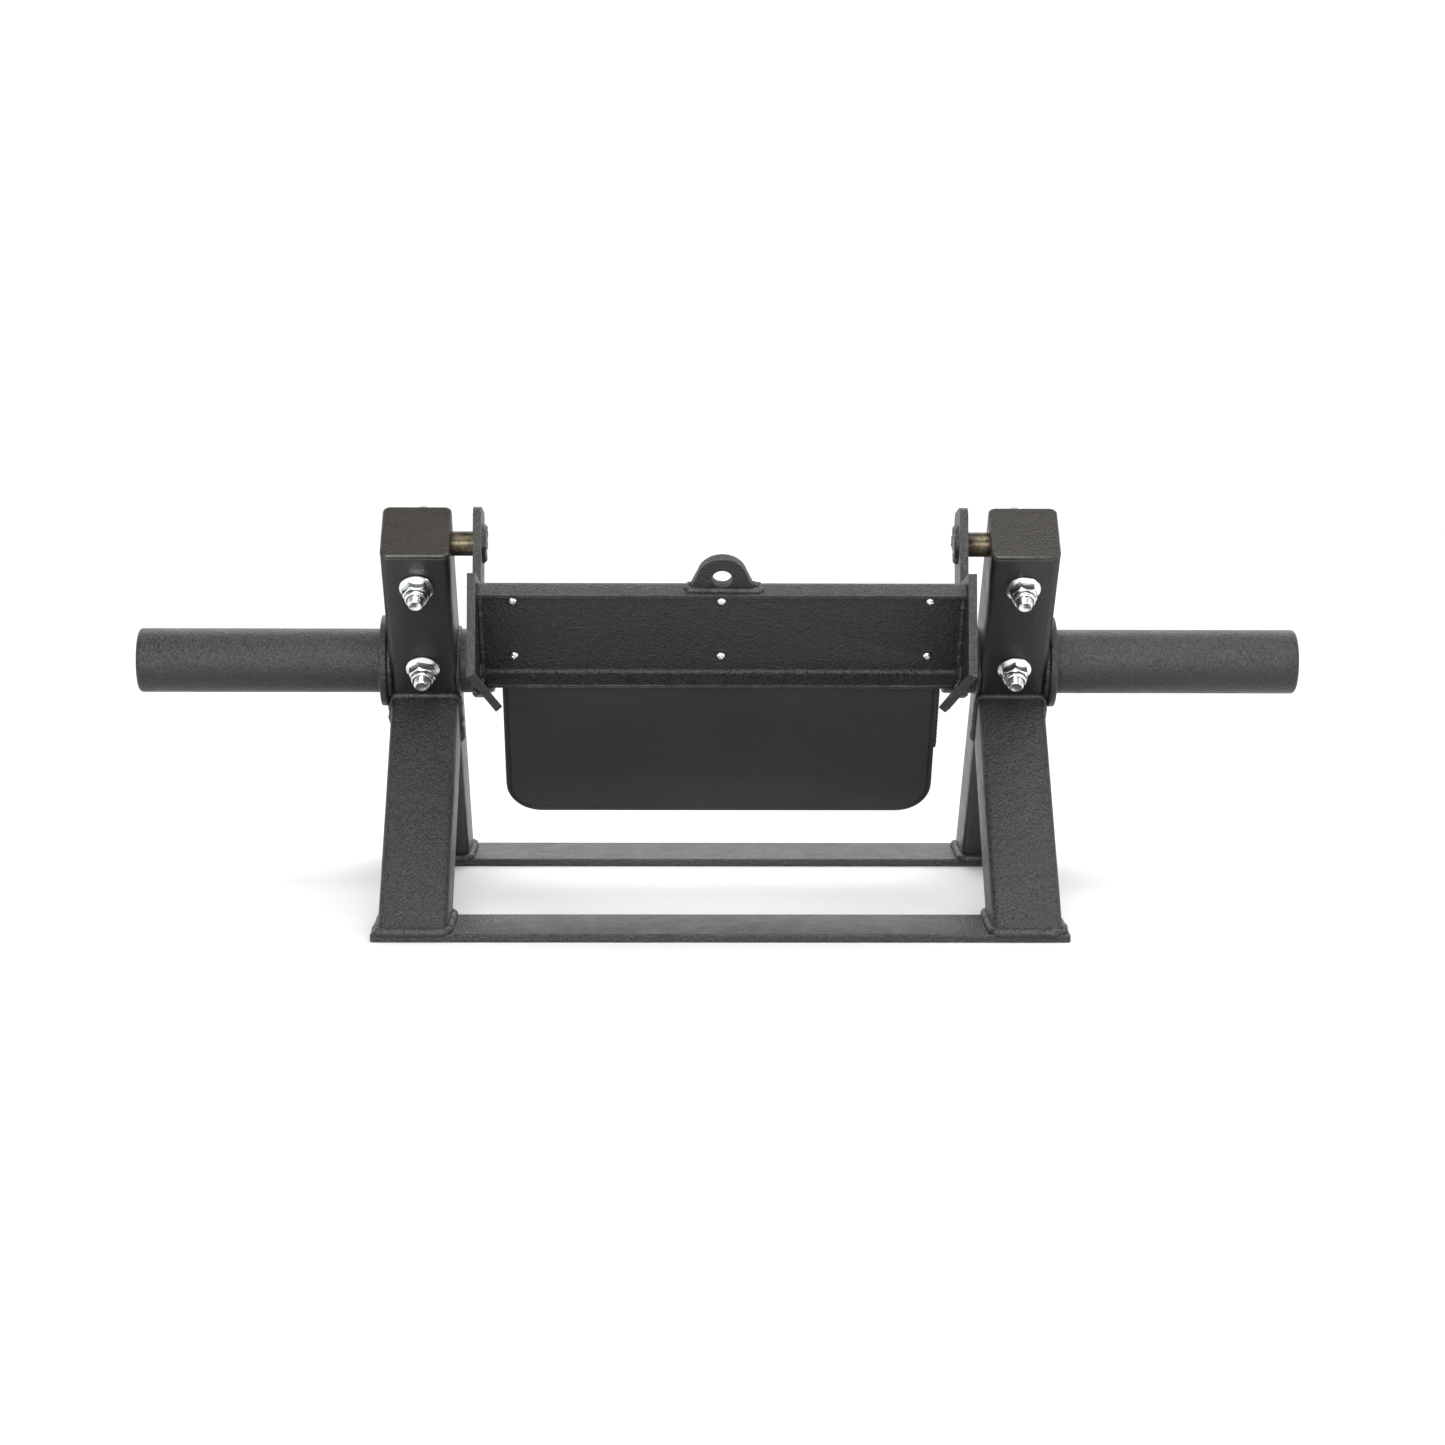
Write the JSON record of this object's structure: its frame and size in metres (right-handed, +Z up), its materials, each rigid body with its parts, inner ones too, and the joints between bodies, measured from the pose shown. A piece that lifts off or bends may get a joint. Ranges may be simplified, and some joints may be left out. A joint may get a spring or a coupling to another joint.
{
  "type": "roman chair",
  "caption": "Low floor-standing roman chair stand: two A-shaped steel sides with plate sleeves and a swinging beam between them that carries a padded board",
  "frame": {"origin": "on the floor, at the middle of the front bar's underside, in the plane of symmetry", "axes": "+X across from the left side to the right as seen from the front, +Y from the front bar to the rear bar, +Z up"},
  "size_m": [0.869, 0.372, 0.3038],
  "materials": {
    "frame_black": "fine-textured black powder coat",
    "zinc": "bright zinc plated fasteners",
    "pin_steel": "bare turned steel, slightly oiled and dark",
    "bronze": "plain bearing bronze",
    "vinyl": "black upholstery vinyl, fine grain",
    "plywood": "raw plywood",
    "foam": "dense upholstery foam"
  },
  "bodies": {
    "stand": {"base_bar_front": "frame_black", "base_bar_rear": "frame_black", "post_left": "frame_black", "post_cap_left": "frame_black", "front_leg_left": "frame_black", "sleeve_left": "frame_black", "sleeve_plug_left": "frame_black", "collar_left": "frame_black", "stop_stub_left": "frame_black", "pivot_bush_inner_left": "bronze", "pivot_bush_outer_left": "bronze", "frame_stud_upper_left": "zinc", "lock_nut_upper_left": "zinc", "frame_stud_lower_left": "zinc", "lock_nut_lower_left": "zinc", "pin_lock_bolt_left": "zinc", "post_right": "frame_black", "post_cap_right": "frame_black", "front_leg_right": "frame_black", "sleeve_right": "frame_black", "sleeve_plug_right": "frame_black", "collar_right": "frame_black", "stop_stub_right": "frame_black", "pivot_bush_inner_right": "bronze", "pivot_bush_outer_right": "bronze", "frame_stud_upper_right": "zinc", "lock_nut_upper_right": "zinc", "frame_stud_lower_right": "zinc", "lock_nut_lower_right": "zinc", "pin_lock_bolt_right": "zinc"},
    "pad_frame": {"ear_left": "frame_black", "end_plate_left": "frame_black", "pivot_pin_left": "pin_steel", "ear_right": "frame_black", "end_plate_right": "frame_black", "pivot_pin_right": "pin_steel", "cross_channel": "frame_black", "eyelet_tab": "frame_black", "pad_backing": "vinyl", "pad_board": "plywood", "pad_foam": "foam", "pad_cover": "vinyl", "pad_screw_1": "zinc", "pad_screw_2": "zinc", "pad_screw_3": "zinc", "pad_screw_4": "zinc", "pad_screw_5": "zinc", "pad_screw_6": "zinc"}
  },
  "joints": [
    {"name": "pad_frame_swing", "type": "hinge", "parent": "stand", "child": "pad_frame", "pos_m": [0, 0.05738, 0.2759], "axis": [1, 0, 0], "range_deg": [-225, 27]}
  ]
}
